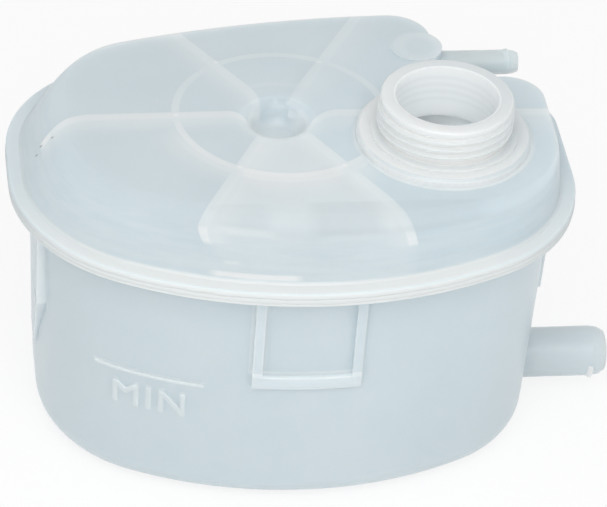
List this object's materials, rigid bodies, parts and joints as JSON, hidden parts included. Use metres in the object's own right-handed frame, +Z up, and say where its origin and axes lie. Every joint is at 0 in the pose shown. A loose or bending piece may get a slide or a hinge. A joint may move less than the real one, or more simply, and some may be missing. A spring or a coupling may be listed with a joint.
{
  "type": "coolant expansion tank",
  "caption": "Translucent plastic coolant expansion tank: ribbed domed lid welded to a deep oval pan at a flange, with a threaded filler neck, a vent nipple and a low outlet nipple.",
  "frame": {"origin": "on the flat underside of the pan, below the axis of the lid's central well", "axes": "+Z up, along the filler neck; +X along both hose nipples, away from the tank; -Y is the front, which carries the MIN mark"},
  "size_m": [0.2205, 0.1599, 0.1307],
  "materials": {
    "upper_shell": "natural translucent polypropylene, satin",
    "lower_shell": "natural translucent polypropylene, satin"
  },
  "bodies": {
    "root": {"upper_shell": "upper_shell", "lower_shell": "lower_shell"}
  },
  "joints": []
}
